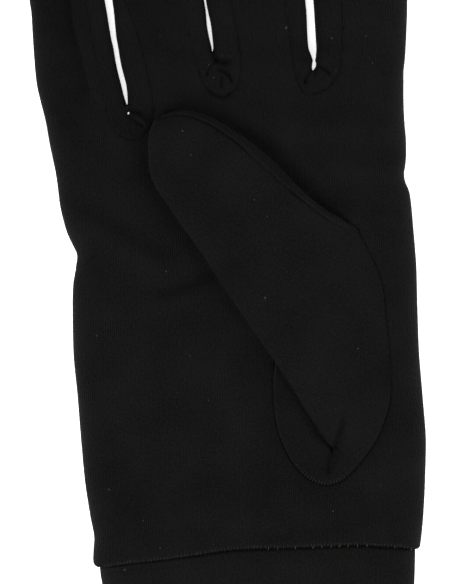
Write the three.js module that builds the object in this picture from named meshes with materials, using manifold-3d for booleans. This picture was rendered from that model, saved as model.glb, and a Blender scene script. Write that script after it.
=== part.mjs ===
// Wool glove: a right-hand liner glove of fine black jersey. It lies flat with the palm up, and the thumb
// is folded across the palm. Millimetres, +Z up, fingers along +Y, the back of the hand on z = 0.
import * as THREE from 'three';
import { mergeVertices } from 'three/addons/utils/BufferGeometryUtils.js';
import Module from 'manifold-3d';

const wasm = await Module();
wasm.setup();

// Driving dimensions
const WALL = 1.0;             // thickness of the jersey
const SEAM_GAP = 0.3;         // clearance between two pieces that are sewn together
const HAND_HEIGHT = 7.4;      // floor to palm, with the hollow slightly open
const FINGER_HEIGHT = 6.9;
const CUFF_HEIGHT = 6.7;
const CUFF_LENGTH = 45;
const THUMB_HEIGHT = 6.9;     // the folded thumb's own thickness
const FOLD_RISE = 2.6;        // height of a side fold above the face that the piece lies on
const UNDER_ROUND = 3;        // how far in from a side fold the underside turns flat
const TOP_ROUND = { hand: 9, finger: 6.5, thumb: 7, cuff: 8 };   // the same for the top face
const SEAM_RIDGE = 0.4;       // how proud of the palm the thumb's oval seam stands
const OVAL_CUT = 3;           // how far down from the palm the thumb's oval is cut out

const THUMB_TIP = { x: -35.1, y: 114.6 };
const THUMB_TILT = THREE.MathUtils.degToRad(34);   // the thumb's axis from the length of the hand
const THUMB_HOLE = { x: 23.2, y: 52.9, halfLength: 34.7, halfWidth: 15.4 };
const THUMB_HOLE_TILT = THREE.MathUtils.degToRad(-8);

// Table frame: x from the middle of the hand, y up from the cuff seam. Every row is one cross-section.
// Hand: distance along, left and right outline, height above the floor
const HAND_ROWS = [
  { along: 0, left: -42.5, right: 46.5, height: 6.9 },
  { along: 1.2, left: -43.7, right: 47.7, height: 7.3 },
  { along: 5, left: -44.1, right: 48.2, height: HAND_HEIGHT },
  { along: 12, left: -45.3, right: 48.8, height: HAND_HEIGHT },
  { along: 20, left: -46.4, right: 49.2, height: HAND_HEIGHT },
  { along: 30, left: -47.3, right: 49.3, height: HAND_HEIGHT },
  { along: 43, left: -48.5, right: 48.4, height: HAND_HEIGHT },
  { along: 56, left: -49.7, right: 47.4, height: HAND_HEIGHT },
  { along: 69, left: -49.9, right: 47, height: HAND_HEIGHT },
  { along: 77, left: -49.2, right: 46.8, height: HAND_HEIGHT },
  { along: 81.8, left: -48.6, right: 46.5, height: HAND_HEIGHT },
  { along: 85.5, left: -50.2, right: 46.2, height: HAND_HEIGHT },
  { along: 90, left: -51.9, right: 45.8, height: HAND_HEIGHT },
  { along: 96.5, left: -53.4, right: 45.2, height: HAND_HEIGHT },
  { along: 101, left: -53.9, right: 44.3, height: HAND_HEIGHT },
  { along: 104.4, left: -54.5, right: 43.3, height: HAND_HEIGHT },
  { along: 110, left: -55.5, right: 43.8, height: HAND_HEIGHT },
  { along: 116, left: -56.8, right: 43.6, height: 7.2 },
  { along: 122, left: -58, right: 43.2, height: FINGER_HEIGHT },
];
const HEM_LIFT = { right: 0.3, left: -5.6, from: 47, to: -43, bow: 1.9, fade: 16 };

// Fingers: cross-sections from inside the hand to where the rounded tip starts, and the end of the tip
const FINGERS = {
  little: {
    rows: [
      { along: 108, left: -54.9, right: -24 },
      { along: 120, left: -57.3, right: -30 },
      { along: 124, left: -58.3, right: -34 },
      { along: 130, left: -59.8, right: -36.4 },
      { along: 140, left: -60.9, right: -38.6 },
      { along: 153.4, left: -61.9, right: -40.9 },
      { along: 166, left: -63, right: -43 },
      { along: 173, left: -63.4, right: -44.4 },
    ],
    tip: { x: -55, y: 183 },
  },
  ring: {
    rows: [
      { along: 108, left: -47, right: 1 },
      { along: 120, left: -38.8, right: -1 },
      { along: 124, left: -34.4, right: -2.4 },
      { along: 131, left: -35.3, right: -5.3 },
      { along: 136, left: -36.6, right: -8.4 },
      { along: 139.4, left: -37.2, right: -10.5 },
      { along: 146, left: -37.9, right: -12.2 },
      { along: 160, left: -39.7, right: -14.5 },
      { along: 178, left: -42.4, right: -17.5 },
      { along: 193, left: -44, right: -20.8 },
    ],
    tip: { x: -34, y: 206 },
  },
  middle: {
    rows: [
      { along: 108, left: -19, right: 27 },
      { along: 122, left: -16.2, right: 24.6 },
      { along: 131, left: -13.6, right: 20.2 },
      { along: 134, left: -12.3, right: 17.8 },
      { along: 139.4, left: -10.4, right: 16.4 },
      { along: 146, left: -11.2, right: 15.8 },
      { along: 160, left: -13.4, right: 15.1 },
      { along: 180, left: -16.4, right: 13.7 },
      { along: 204, left: -19, right: 9.4 },
    ],
    tip: { x: -5.2, y: 218.7 },
  },
  index: {
    rows: [
      { along: 108, left: 9.6, right: 43.7 },
      { along: 122, left: 11.8, right: 43.2 },
      { along: 131, left: 15.6, right: 43.1 },
      { along: 134, left: 17.9, right: 43.2 },
      { along: 146, left: 18, right: 43.9 },
      { along: 160, left: 17.1, right: 44.1 },
      { along: 178, left: 16.3, right: 43.5 },
      { along: 194, left: 17, right: 42.4 },
    ],
    tip: { x: 29.8, y: 207 },
  },
};
const TIP_STEPS = 5;
const TIP_CLOSE = 0.25;        // share of a step that the last section stays short of the very tip
const TIP_HEIGHT = 4.4;        // height of a fingertip's last section
const TIP_FALL = 4;            // power that keeps most of the tip at full height

// Side strips between the fingers, seen from above: the stitched line up one finger and down the next
const FOURCHETTES = {
  fourchette_little_ring: [
    [-33, 114.2], [-37, 115.9], [-40, 121.2], [-41.2, 128.2], [-43.1, 139.4], [-45.8, 153.4], [-48.2, 166],
    [-50.2, 172], [-54.6, 177.5], [-56, 186], [-44.6, 197], [-38.6, 184], [-36.8, 168], [-34.5, 153.4],
    [-31.9, 145.9], [-29.7, 137.2], [-27.7, 129.4], [-27, 123.2], [-27.7, 117.9], [-30, 114.8],
  ],
  fourchette_ring_middle: [
    [-9.2, 126.6], [-11.8, 128.2], [-12.9, 132.2], [-14.8, 136.1], [-16, 140], [-17.6, 147.3], [-19.6, 153.4],
    [-23.6, 180], [-22.6, 196], [-20, 200], [-19.6, 210], [-12.6, 196], [-9.2, 176], [-5, 153.4],
    [-3.4, 143.4], [-2.6, 135], [-3.1, 129.2], [-5.3, 126.8],
  ],
  fourchette_middle_index: [
    [18.5, 127.3], [16, 127.7], [14, 129.9], [13.2, 134.5], [11.5, 142.2], [10.1, 149.5], [9.2, 160],
    [7.6, 182], [7.4, 200], [10.4, 210], [15, 205], [18.2, 199], [23.2, 188], [24.8, 168], [25.6, 150],
    [25.6, 138], [24.4, 131], [22.1, 128.5],
  ],
};

// Cuff: the same columns as the hand's, measured down from the seam
const CUFF_ROWS = [
  { along: 0, left: -42.3, right: 46.4, height: 6.6 },
  { along: -4, left: -41.9, right: 46.3, height: CUFF_HEIGHT },
  { along: -12, left: -41, right: 46, height: CUFF_HEIGHT },
  { along: -24, left: -39.6, right: 45.3, height: CUFF_HEIGHT },
  { along: -CUFF_LENGTH, left: -39, right: 45, height: CUFF_HEIGHT },
];

// Thumb, in its own frame: along runs from the tip down the axis, left and right are measured from the
// fold on the thumb's left. Past its widest row the right side comes down to the oval seam in the palm.
const THUMB_ROWS = [
  { along: 0.2, left: 9.5, right: 13.6, height: 3.6, rightRise: FOLD_RISE },
  { along: 1.8, left: 6.9, right: 16.2, height: 5.6, rightRise: FOLD_RISE },
  { along: 6.2, left: 3.5, right: 21.2, height: THUMB_HEIGHT, rightRise: FOLD_RISE },
  { along: 12, left: 0.6, right: 24.7, height: THUMB_HEIGHT, rightRise: FOLD_RISE },
  { along: 23, left: -0.3, right: 29.3, height: THUMB_HEIGHT, rightRise: FOLD_RISE },
  { along: 32, left: -0.3, right: 31.6, height: THUMB_HEIGHT, rightRise: FOLD_RISE },
  { along: 45, left: -0.3, right: 34.5, height: THUMB_HEIGHT, rightRise: FOLD_RISE },
  { along: 55, left: -0.3, right: 38.7, height: THUMB_HEIGHT, rightRise: 1.6 },
  { along: 60, left: -0.3, right: 39.5, height: THUMB_HEIGHT, rightRise: 0.3 },
  { along: 66, left: -0.3, right: 38.8, height: THUMB_HEIGHT, rightRise: 0 },
  { along: 74, left: -0.3, right: 36.8, height: 6.6, rightRise: 0 },
  { along: 82, left: -0.2, right: 32.9, height: 6.2, rightRise: 0 },
  { along: 90, left: -0.3, right: 28.4, height: 5.2, rightRise: 0 },
  { along: 96, left: -0.3, right: 24.6, height: 3.8, rightRise: 0 },
  { along: 101, left: 0.2, right: 20.2, height: 2.1, rightRise: 0 },
  { along: 105.5, left: 0.8, right: 14.6, height: 0.1, rightRise: 0 },
];
const THUMB_HOLLOW_START = 1;  // the hollow leaves out the tip's very first row
const THUMB_HOLLOW_END = 97;   // past this row the two layers lie on each other
const THUMB_TIP_TUCK = 0.6;    // the hollow's first row is this much lower than the outer one

// Dents pressed into the palm side: a line from (x1, y1) to (x2, y2), its half width and its depth
const CREASES = [
  { x1: -47, y1: 92, x2: -28, y2: 83.5, halfWidth: 5, depth: 0.7 },
  { x1: -30, y1: 72, x2: -12, y2: 76.5, halfWidth: 5, depth: 0.7 },
  { x1: -39, y1: 5, x2: -14, y2: 6, halfWidth: 3, depth: 0.5 },
  { x1: 3, y1: 6, x2: 26, y2: 6, halfWidth: 3, depth: 0.5 },
  { x1: -49.2, y1: 160, x2: -47.4, y2: 142, halfWidth: 2, depth: 0.4 },
  { x1: -47.4, y1: 142, x2: -44.4, y2: 129, halfWidth: 2, depth: 0.4 },
];

// Mesh fineness and how far the cutting bodies reach past what they cut
const HAND_SPANS = 18;
const FINGER_SPANS = 10;
const CUFF_SPANS = 16;
const THUMB_SPANS = 10;
const OVAL_SIDES = 40;
const OVERREACH = 3;
const CUT_TOP = 30;
const SLIVER = 0.03;           // edges shorter than this are closed up

// Manifold solid from any closed three.js geometry
function toSolid(geometry) {
  const bare = geometry.clone();
  bare.deleteAttribute('normal');
  bare.deleteAttribute('uv');
  const merged = mergeVertices(bare);
  return new wasm.Manifold(new wasm.Mesh({
    numProp: 3,
    vertProperties: new Float32Array(merged.attributes.position.array),
    triVerts: new Uint32Array(merged.index.array),
  }));
}

// Named three.js mesh from a Manifold solid, without the slivers that its cuts left
function toMesh(name, solid, material) {
  const data = solid.simplify(SLIVER).getMesh();
  const geometry = new THREE.BufferGeometry();
  geometry.setAttribute('position', new THREE.BufferAttribute(new Float32Array(data.vertProperties), 3));
  geometry.setIndex(new THREE.BufferAttribute(new Uint32Array(data.triVerts), 1));
  geometry.computeVertexNormals();
  const mesh = new THREE.Mesh(geometry, material);
  mesh.name = name;
  return mesh;
}

// Share of the full height that is reached at a distance in from a rounded side
function rounded(distance, radius) {
  const share = Math.min(Math.max(distance / radius, 0), 1);
  return Math.sqrt(1 - (1 - share) ** 2);
}

// Depth of the creases at one place on the palm side
function creaseDepth(x, y) {
  let depth = 0;
  for (const crease of CREASES) {
    const dx = crease.x2 - crease.x1;
    const dy = crease.y2 - crease.y1;
    const share = ((x - crease.x1) * dx + (y - crease.y1) * dy) / (dx * dx + dy * dy);
    const nearest = THREE.MathUtils.clamp(share, 0, 1);
    const distance = Math.hypot(x - crease.x1 - nearest * dx, y - crease.y1 - nearest * dy);
    depth += crease.depth * Math.exp(-((distance / crease.halfWidth) ** 2));
  }
  return depth;
}

// One flattened tube section as matching lists of top and underside points. Inset gives the inner face.
function section(row, form, inset) {
  const left = row.left + inset;
  const right = row.right - inset;
  const bottom = form.base + inset;
  const top = form.base + row.height - inset;
  const leftFold = form.base + Math.min(Math.max(FOLD_RISE, inset), row.height / 2);
  const rightFold = form.base + Math.min(Math.max(row.rightRise ?? FOLD_RISE, inset), row.height / 2);
  const upper = [];
  const lower = [];
  for (let i = 0; i <= form.spans; i++) {
    const turn = (1 - Math.cos(Math.PI * i / form.spans)) / 2;
    const across = left + (right - left) * turn;
    const fold = leftFold + (rightFold - leftFold) * turn;
    const inward = Math.min(across - left, right - across);
    const rise = rounded(inward, form.topRound - inset);
    const sink = rounded(inward, UNDER_ROUND - inset);
    const dent = form.creased ? creaseDepth(across, row.along) * rise : 0;
    upper.push(form.place(across, row.along, fold + (top - fold) * rise - dent));
    lower.push(form.place(across, row.along, fold + (bottom - fold) * sink));
  }
  return { upper, lower };
}

// Closed body lofted through sections, with a flat cap on each end
function loft(rows, form, inset = 0) {
  const positions = [];
  const indices = [];
  const spans = form.spans;
  const ringSize = 2 * spans;
  for (const row of rows) {
    const { upper, lower } = section(row, form, inset);
    const ring = [...upper, ...lower.slice(1, spans).reverse()];
    ring.forEach((point) => positions.push(point.x, point.y, point.z));
  }
  for (let r = 0; r + 1 < rows.length; r++) {
    for (let i = 0; i < ringSize; i++) {
      const a = r * ringSize + i;
      const b = r * ringSize + (i + 1) % ringSize;
      indices.push(a, a + ringSize, b, b, a + ringSize, b + ringSize);
    }
  }
  const cap = (start, flip) => {
    const lowerIndex = (i) => start + (i === 0 || i === spans ? i : ringSize - i);
    const triangle = (a, b, c) => (flip ? indices.push(a, c, b) : indices.push(a, b, c));
    for (let i = 0; i < spans; i++) {
      if (i > 0) triangle(start + i, lowerIndex(i + 1), lowerIndex(i));
      if (i < spans - 1) triangle(start + i, start + i + 1, lowerIndex(i + 1));
    }
  };
  cap(0, false);
  cap((rows.length - 1) * ringSize, true);
  const geometry = new THREE.BufferGeometry();
  geometry.setAttribute('position', new THREE.BufferAttribute(new Float32Array(positions), 3));
  geometry.setIndex(indices);
  const solid = toSolid(geometry);
  if (solid.volume() > 0) return solid;
  const turned = [];
  for (let i = 0; i < indices.length; i += 3) turned.push(indices[i], indices[i + 2], indices[i + 1]);
  geometry.setIndex(turned);
  return toSolid(geometry);
}

// Upright prism over a plan outline
function prism(outline, fromZ, toZ) {
  const shape = new THREE.Shape(outline.map(([x, y]) => new THREE.Vector2(x, y)));
  const geometry = new THREE.ExtrudeGeometry(shape, { depth: toZ - fromZ, bevelEnabled: false });
  geometry.translate(0, 0, fromZ);
  return toSolid(geometry);
}

// Plan outline moved outward by a distance, corner by corner; the outline runs clockwise
function grown(outline, distance) {
  return outline.map(([x, y], i) => {
    const [px, py] = outline[(i + outline.length - 1) % outline.length];
    const [nx, ny] = outline[(i + 1) % outline.length];
    const before = new THREE.Vector2(py - y, x - px).normalize();
    const after = new THREE.Vector2(y - ny, nx - x).normalize();
    const outward = before.add(after).normalize();
    return [x + outward.x * distance, y + outward.y * distance];
  });
}

// The hem runs slightly uphill and bows, so sections near it follow that line
function hemLine(x) {
  const share = (x - HEM_LIFT.to) / (HEM_LIFT.from - HEM_LIFT.to);
  const straight = HEM_LIFT.left + (HEM_LIFT.right - HEM_LIFT.left) * share;
  return straight + HEM_LIFT.bow * 4 * share * (1 - share);
}

function besideHem(across, along, z) {
  const nearness = Math.max(0, 1 - Math.abs(along) / HEM_LIFT.fade);
  return new THREE.Vector3(across, along + hemLine(across) * nearness, z);
}

// Finger rows with the rounded tip added; inset draws the tip back for the inner face
function fingerRows(finger, inset) {
  const rows = finger.rows.map((row) => ({ ...row, height: FINGER_HEIGHT }));
  const last = rows[rows.length - 1];
  const middle = (last.left + last.right) / 2;
  const half = (last.right - last.left) / 2 - inset;
  const reach = finger.tip.y - last.along - inset;
  for (let step = 1; step <= TIP_STEPS; step++) {
    const angle = (Math.PI / 2) * (step / (TIP_STEPS + TIP_CLOSE));
    const centre = middle + (finger.tip.x - middle) * Math.sin(angle);
    const width = half * Math.cos(angle) + inset;
    rows.push({
      along: last.along + reach * Math.sin(angle),
      left: centre - width,
      right: centre + width,
      height: FINGER_HEIGHT - (FINGER_HEIGHT - TIP_HEIGHT) * Math.sin(angle) ** TIP_FALL,
    });
  }
  return rows;
}

// Hand and fingers as one body: the outer form at inset 0, the hollow at inset WALL
function handForm(inset) {
  const handStyle = { base: 0, topRound: TOP_ROUND.hand, spans: HAND_SPANS, creased: true, place: besideHem };
  const fingerStyle = { ...handStyle, topRound: TOP_ROUND.finger, spans: FINGER_SPANS };
  const rows = HAND_ROWS.map((row) => ({ ...row }));
  rows[0].along = SEAM_GAP / 2;
  if (inset > 0) rows.unshift({ ...rows[0], along: -OVERREACH });
  rows[rows.length - 1].along -= inset;
  let body = loft(rows, handStyle, inset);
  for (const finger of Object.values(FINGERS)) {
    body = body.add(loft(fingerRows(finger, inset), fingerStyle, inset));
  }
  return body;
}

function ovalOutline(inset) {
  const outline = [];
  for (let i = 0; i < OVAL_SIDES; i++) {
    const angle = -2 * Math.PI * i / OVAL_SIDES;
    const point = new THREE.Vector2(
      (THUMB_HOLE.halfWidth - inset) * Math.cos(angle),
      (THUMB_HOLE.halfLength - inset) * Math.sin(angle),
    ).rotateAround(new THREE.Vector2(), THUMB_HOLE_TILT);
    outline.push([THUMB_HOLE.x + point.x, THUMB_HOLE.y + point.y]);
  }
  return outline;
}

// Hand: palm, back and the fronts and backs of the fingers, cut clear of the side strips and the thumb
function buildHand(shell) {
  let hand = shell;
  for (const outline of Object.values(FOURCHETTES)) {
    hand = hand.subtract(prism(grown(outline, SEAM_GAP), -OVERREACH, CUT_TOP));
  }
  return hand.subtract(prism(ovalOutline(-SEAM_GAP), HAND_HEIGHT - OVAL_CUT, CUT_TOP));
}

// Thumb: a flattened tube on the palm, opening down into the hand through an oval base
function buildThumb() {
  const base = HAND_HEIGHT + SEAM_GAP;
  const place = (across, along, z) => new THREE.Vector3(
    THUMB_TIP.x + along * Math.sin(THUMB_TILT) + across * Math.cos(THUMB_TILT),
    THUMB_TIP.y - along * Math.cos(THUMB_TILT) + across * Math.sin(THUMB_TILT),
    z,
  );
  const style = { base, topRound: TOP_ROUND.thumb, spans: THUMB_SPANS, creased: false, place };
  const hollowRows = THUMB_ROWS.filter(
    (row) => row.along > THUMB_HOLLOW_START && row.along < THUMB_HOLLOW_END,
  );
  hollowRows[0] = { ...hollowRows[0], height: hollowRows[0].height - THUMB_TIP_TUCK };
  const palmUnder = HAND_HEIGHT - WALL;
  const ovalTop = HAND_HEIGHT + SEAM_RIDGE;

  const tube = loft(THUMB_ROWS, style);
  const hollow = loft(hollowRows, style, WALL);
  const gusset = prism(ovalOutline(0), palmUnder, ovalTop);
  const gussetHollow = prism(ovalOutline(WALL), palmUnder - OVERREACH, ovalTop - WALL);
  const wayDown = prism(ovalOutline(WALL), palmUnder - OVERREACH, base + THUMB_HEIGHT / 2);
  const column = columnUnder(hollowRows, place, palmUnder - OVERREACH, base + THUMB_HEIGHT / 2);
  return tube.add(gusset).subtract(hollow).subtract(gussetHollow).subtract(wayDown.intersect(column));
}

// Upright column with the hollow's own plan outline
function columnUnder(rows, place, fromZ, toZ) {
  const leftSide = rows.map((row) => place(row.left + WALL, row.along, 0));
  const rightSide = rows.map((row) => place(row.right - 2 * WALL, row.along, 0));
  const outline = [...leftSide, ...rightSide.reverse()].map((point) => [point.x, point.y]);
  return prism(outline, fromZ, toZ);
}

// Cuff: an open tube that starts at the hem of the hand
function buildCuff() {
  const style = { base: 0, topRound: TOP_ROUND.cuff, spans: CUFF_SPANS, creased: false, place: besideHem };
  const rows = CUFF_ROWS.map((row) => ({ ...row }));
  rows[0].along = -SEAM_GAP / 2;
  const inner = rows.map((row) => ({ ...row }));
  inner.unshift({ ...inner[0], along: OVERREACH });
  inner[inner.length - 1].along -= OVERREACH;
  return loft(rows, style).subtract(loft(inner, style, WALL));
}

// Black jersey, a little lighter on the thumb's raised face and darker on the cuff
function jersey(colour) {
  return new THREE.MeshStandardMaterial({ color: colour, roughness: 0.95, metalness: 0 });
}

const outerForm = handForm(0);
const shell = outerForm.subtract(handForm(WALL));
const group = new THREE.Group();
group.add(toMesh('hand_trank', buildHand(shell), jersey(0x171717)));
for (const [name, outline] of Object.entries(FOURCHETTES)) {
  group.add(toMesh(name, shell.intersect(prism(outline, -OVERREACH, CUT_TOP)), jersey(0x161616)));
}
group.add(toMesh('thumb', buildThumb(), jersey(0x191919)));
group.add(toMesh('cuff', buildCuff(), jersey(0x141414)));

// The middle of the glove's own box is the origin
const middle = new THREE.Box3().setFromObject(group).getCenter(new THREE.Vector3());
group.position.set(-middle.x, -middle.y, 0);

export default group;
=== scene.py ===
# Wool glove: a right-hand liner glove of fine black jersey, lying palm up with its thumb folded over.
import math
from functools import partial

import bmesh
import bpy
import numpy as np
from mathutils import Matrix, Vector, noise
from mathutils.geometry import delaunay_2d_cdt


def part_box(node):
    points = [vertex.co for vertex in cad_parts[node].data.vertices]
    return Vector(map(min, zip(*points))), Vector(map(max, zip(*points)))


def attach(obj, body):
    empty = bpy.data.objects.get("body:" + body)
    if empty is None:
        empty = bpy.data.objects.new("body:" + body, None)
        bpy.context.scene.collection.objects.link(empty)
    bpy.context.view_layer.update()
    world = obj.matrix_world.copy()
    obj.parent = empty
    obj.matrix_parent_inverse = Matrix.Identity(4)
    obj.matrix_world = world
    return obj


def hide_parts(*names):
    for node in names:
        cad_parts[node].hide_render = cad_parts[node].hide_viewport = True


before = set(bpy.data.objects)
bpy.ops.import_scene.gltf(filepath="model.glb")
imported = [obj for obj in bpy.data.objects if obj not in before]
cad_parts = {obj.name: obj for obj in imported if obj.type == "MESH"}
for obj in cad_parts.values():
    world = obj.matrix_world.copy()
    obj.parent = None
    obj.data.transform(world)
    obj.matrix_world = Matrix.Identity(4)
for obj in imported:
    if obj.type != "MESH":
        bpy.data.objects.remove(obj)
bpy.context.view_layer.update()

# Table frame of the glove, in millimetres: x from the middle of the hand, y up from the cuff seam
MM = 0.001
CUFF_LENGTH = 45.0
CUFF_WIDEST_LEFT = -42.3
SHIFT_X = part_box("cuff")[0][0] / MM - CUFF_WIDEST_LEFT
SHIFT_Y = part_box("cuff")[0][1] / MM + CUFF_LENGTH

# Sizes that the pieces share
HAND_HEIGHT = 7.4
FINGER_HEIGHT = 6.9
THUMB_HEIGHT = 6.9
THUMB_BASE = 7.75  # underside of the folded thumb
FOLD_RISE = 2.6  # height of a side fold above the face that the cloth lies on
CLOTH = 0.8  # thickness of the jersey
HEM_LEVEL = 6.5  # height of the hem's edge
WALE_PITCH = 0.6  # from one upright rib of the knit to the next
LOOP_SHARE = 0.72  # height of a loop of the knit, as a share of the pitch
WALE_SWAY = 0.9  # how far the ribs stray
FIBRE_LEVEL, FIBRE_BRIGHTNESS = 0.16, 9  # noise above which a pale fibre shows, and how pale it gets
DARKEST = 0.2  # least share of its colour that the cloth keeps
WALE_CONTRAST = 0.75  # contrast of the knit's ribs, of its fluff and of its soft patches
FLUFF_CONTRAST = 1.8
PATCH_CONTRAST = 0.66
RIM_PAINTED_LIGHT = 1.5  # painted light on the outer side folds: how much lighter they are painted
RIM_REACH = 1.5  # how far in from a side fold the painted light fades
FINGER_PAINTED_SHADE = 0.21  # painted shade: how much darker than the palm the little finger is painted
SHADE_UP, SHADE_ACROSS = (100, 155), (-60, 40)  # where it sets in up the hand, and fades across it
JERSEY_BLACK = (0.0036, 0.0036, 0.00352)
POCKET_DEPTH = 5.5  # how far the pocket goes in under the folded thumb
HEM_PAINTED_SHADOW = 0.14  # painted shadow of the hem: how much darker the cuff is just below the hem
SIDE_ROUND = 8  # how far in from an outer side of the hand the cloth rises
TIP_ROUND = 6.5  # the same at a fingertip
GAP_SHARPER = 4.1  # how much less it is beside a gap between the fingers
SHARP_AT_HOLE = 1.6  # the same just above the pinhole
HOLE_ROUND = 0.4  # how far in from the pinhole's rim the cloth rises
UNDER_ROUND = 3  # how far in from a side fold the underside turns flat
THUMB_ROUND = 7
CUFF_ROUND = 7.5
THUMB_RISE = 22  # how far from the oval seam the thumb has its full height
VALLEY_RISE = 8  # the same beside the valley at its foot
WELT_DEPTH, WELT_FAINTER, WELT_RIDGE = 0.8, 0.45, 0.16
CROTCH_SHARE = 0.55  # share of the depths in the table of crotch folds
SEAM_LEVEL = 9  # height at which the camera sees the thumb's seam and folds
WELT_LEVEL = 12.5  # the same for the welt
FINGER_ROOTS = 122  # where the wales start to lean with the fingers, and how far up they lean fully
LEAN_REACH = 18
ON_FINGERS = (105, 128)  # where the hand turns into the fingers
OUT_OF_VIEW = (175, 160)  # above the photograph the gaps are as round as the tips
HEM_ROLL = 1.2  # how far in from the hem the cloth rolls under
HEM_FOLLOWED = 16  # how far down the cuff its rows follow the hem's curve
HEM_LIFT = 0.6  # how much higher the cuff is beside the hem's left end
SIDE_STEP = 0.9  # between the points of an outline
TIP_STEPS = 26
LINE_STEP = 0.6  # the same for a seam or a fold
EDGE_ROWS = [0.1, 0.3, 0.7, 1.3, 2.2, 3.4]  # distances of the mesh's rows from a fold
CLEARANCE = 0.07  # least distance of a loose mesh point from a seam or a fold
WELD = 2e-6  # metres within which the sheets' points are joined
FLOOR_GLOW = 0.75

# Photograph's frame: 584 pixels of 0.28 mm high, with its middle over this point of the tables
PIXEL = 0.28
PHOTO_HEIGHT = 584
PHOTO_MIDDLE = (-6.72, 71.68)
LENS, SENSOR = 135, 36
CAMERA_AWAY = PHOTO_HEIGHT * PIXEL / SENSOR * LENS

# Outer sides of the hand and of the two outer fingers: height along the glove and x
LEFT_SIDE = [
    (-14, -44.4), (0, -43.9), (2.2, -43.7), (9, -44.85), (19, -46.35), (29, -47.3), (42.6, -48.4),
    (56, -49.6), (69.4, -49.8), (74, -49.6), (77.5, -49), (79.5, -48.75), (81, -48.5), (81.8, -48.5),
    (82.6, -48.65), (84.2, -49.4), (85.9, -50.25), (87.6, -51.05), (89.6, -51.75), (96.3, -53.35),
    (100.8, -53.9), (104.4, -54.4), (109.8, -55.5), (113.1, -56.2), (119.8, -57.4), (124.7, -58.65),
    (129.8, -59.8), (133.1, -60.2), (143.2, -60.95), (149.9, -61.35), (153.3, -61.85), (166, -63.1),
    (173, -63.4),
]
RIGHT_SIDE = [
    (-14, 47.3), (0.6, 47.8), (2.2, 48), (9, 48.65), (19, 49.15), (29, 49.4), (42.6, 48.45), (56, 47.4),
    (69.4, 46.95), (77.8, 46.75), (85, 46.25), (89.6, 45.85), (96.3, 45.25), (99.5, 44.8), (100.7, 44.4),
    (101.8, 43.9), (102.9, 43.5), (104, 43.3), (105.1, 43.25), (106.3, 43.45), (108.5, 43.75), (113, 43.85),
    (116.3, 43.65), (118.9, 43.4), (126.4, 43.1), (133.1, 43.1), (136.5, 43.45), (143.2, 43.85),
    (153.3, 44.15), (166, 44), (178, 43.5), (194, 42.4),
]
# Gaps between the fingers: height along the glove, the edge on the gap's left and the edge on its right
GAPS = [
    [(124.3, -34.6, -34.3), (126.4, -35.27, -34.36), (129.8, -36.11, -34.74), (133.1, -36.97, -35.59),
     (136.5, -37.68, -36.38), (139.9, -38.25, -36.92), (143.2, -38.98, -37.51), (149.9, -40.08, -38.17),
     (153.3, -40.69, -38.59), (166, -43, -40.6), (173, -44.4, -41.7)],
    [(139.2, -10.6, -10.45), (139.9, -10.68, -10.3), (141, -10.93, -10.36), (143.2, -11.45, -10.57),
     (146.6, -12.06, -10.98), (149.9, -12.33, -11.7), (153.3, -12.83, -12.34), (165, -15.3, -14.1),
     (178, -17.5, -16.1)],
    [(133.9, 17.5, 17.8), (134.3, 17.38, 18.1), (135.4, 17.44, 18.6), (136.5, 17.68, 18.25),
     (137.6, 17.36, 18.45), (138.7, 16.93, 18.55), (139.9, 16.5, 18.6), (143.2, 16.16, 18.4),
     (149.9, 15.88, 17.99), (153.3, 15.57, 17.76), (165, 15, 17.1), (178, 13.8, 16.3)],
]
# Where each finger's rounded tip starts, its left and right side there, and x and height of its end
TIPS = [
    (173, -63.4, -44.4, -55, 183),
    (193, -44, -20.8, -34, 206),
    (204, -19, 9.4, -5.2, 218.7),
    (194, 17, 42.4, 29.8, 207),
]
# Cuff seam, from the left corner to the right one
HEM = [
    (-43.8, -4.2), (-43.1, -4.9), (-41.4, -5), (-36.4, -4.3), (-30.8, -3.6), (-25.2, -3), (-19.6, -2.2),
    (-14, -1.4), (-8.4, -0.45), (-2.8, 0.1), (2.8, 0.3), (14, 0.6), (25.2, 1.1), (30.8, 1.25), (36.4, 0.85),
    (42, 0.6), (45.6, 0), (47, 0), (47.8, 0.7),
]

# Seams of the side strips, from the end on one finger round the crotch to the end on the next
STRIP_SEAMS = {
    "fourchette_little_ring": [
        (-56, 186), (-54.6, 177.5), (-50.2, 172), (-48.2, 166), (-45.8, 153.4), (-43.7, 140), (-42, 132.4),
        (-41.2, 128.2), (-39.9, 121.5), (-37.8, 116.8), (-34.4, 114.4), (-30.5, 114.5), (-27.7, 117.6),
        (-26.6, 121.8), (-27.6, 128.2), (-29.7, 138.3), (-31.9, 145.9), (-34.5, 153.4), (-36.8, 168),
        (-38.6, 184), (-44.6, 197),
    ],
    "fourchette_ring_middle": [
        (-20, 200), (-22.6, 196), (-23.6, 180), (-19.6, 153.4), (-17.6, 147.3), (-16.2, 140),
        (-14.6, 133.8), (-12.3, 128.7), (-9.5, 126.4), (-6.2, 126.7), (-3.4, 129.6), (-2.4, 135),
        (-3.2, 142.2), (-5, 153.4), (-9.2, 176), (-12.6, 196), (-19.6, 210),
    ],
    "fourchette_middle_index": [
        (15, 206), (10.4, 210), (7.4, 200), (7.6, 182), (9, 160), (10.1, 149.5), (11.2, 140.8), (12, 134.4),
        (13.6, 129.2), (15.7, 127.1), (18.6, 127.3), (21.6, 128.8), (24.6, 132.2), (25.7, 139.4),
        (25.8, 150), (25, 168), (23.2, 188), (18.2, 199),
    ],
}
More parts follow.
